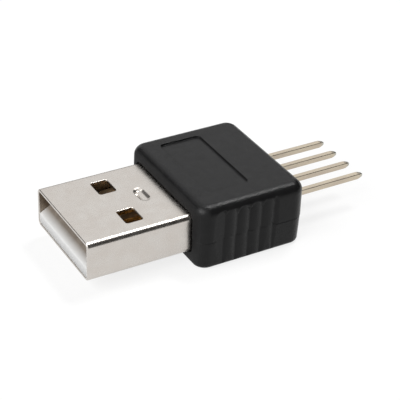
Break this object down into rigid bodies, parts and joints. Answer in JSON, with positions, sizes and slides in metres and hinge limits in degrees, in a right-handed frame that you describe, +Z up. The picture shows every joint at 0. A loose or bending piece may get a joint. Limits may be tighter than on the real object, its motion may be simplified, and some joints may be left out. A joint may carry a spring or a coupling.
{
  "type": "usb-a plug with header pins",
  "caption": "USB-A plug whose contacts leave the back of a moulded grip block as a row of square header pins.",
  "frame": {"origin": "centre of the plug's mouth, on the mid-height of the shell", "axes": "-Y out of the mouth towards the socket, +Y along the header pins, +Z up from the flat underside, X across the plug"},
  "size_m": [0.0156, 0.0348, 0.0074],
  "materials": {
    "plated_shell": "satin nickel plate on folded sheet",
    "white_insulator": "smooth moulded",
    "gold_contact": "gold plated",
    "solder": "bright solder",
    "header_plastic": "moulded",
    "gold_pin": "pale gold plate",
    "inner_plastic": "moulded, hidden",
    "black_moulding": "fine satin moulded grain"
  },
  "bodies": {
    "root": {"shell": "plated_shell", "insulator": "white_insulator", "contact_vbus": "gold_contact", "contact_data_minus": "gold_contact", "contact_data_plus": "gold_contact", "contact_ground": "gold_contact", "solder_vbus": "solder", "solder_data_minus": "solder", "solder_data_plus": "solder", "solder_ground": "solder", "header_strip": "header_plastic", "pin_vbus": "gold_pin", "pin_data_minus": "gold_pin", "pin_data_plus": "gold_pin", "pin_ground": "gold_pin", "inner_mould": "inner_plastic", "overmould": "black_moulding"}
  },
  "joints": []
}
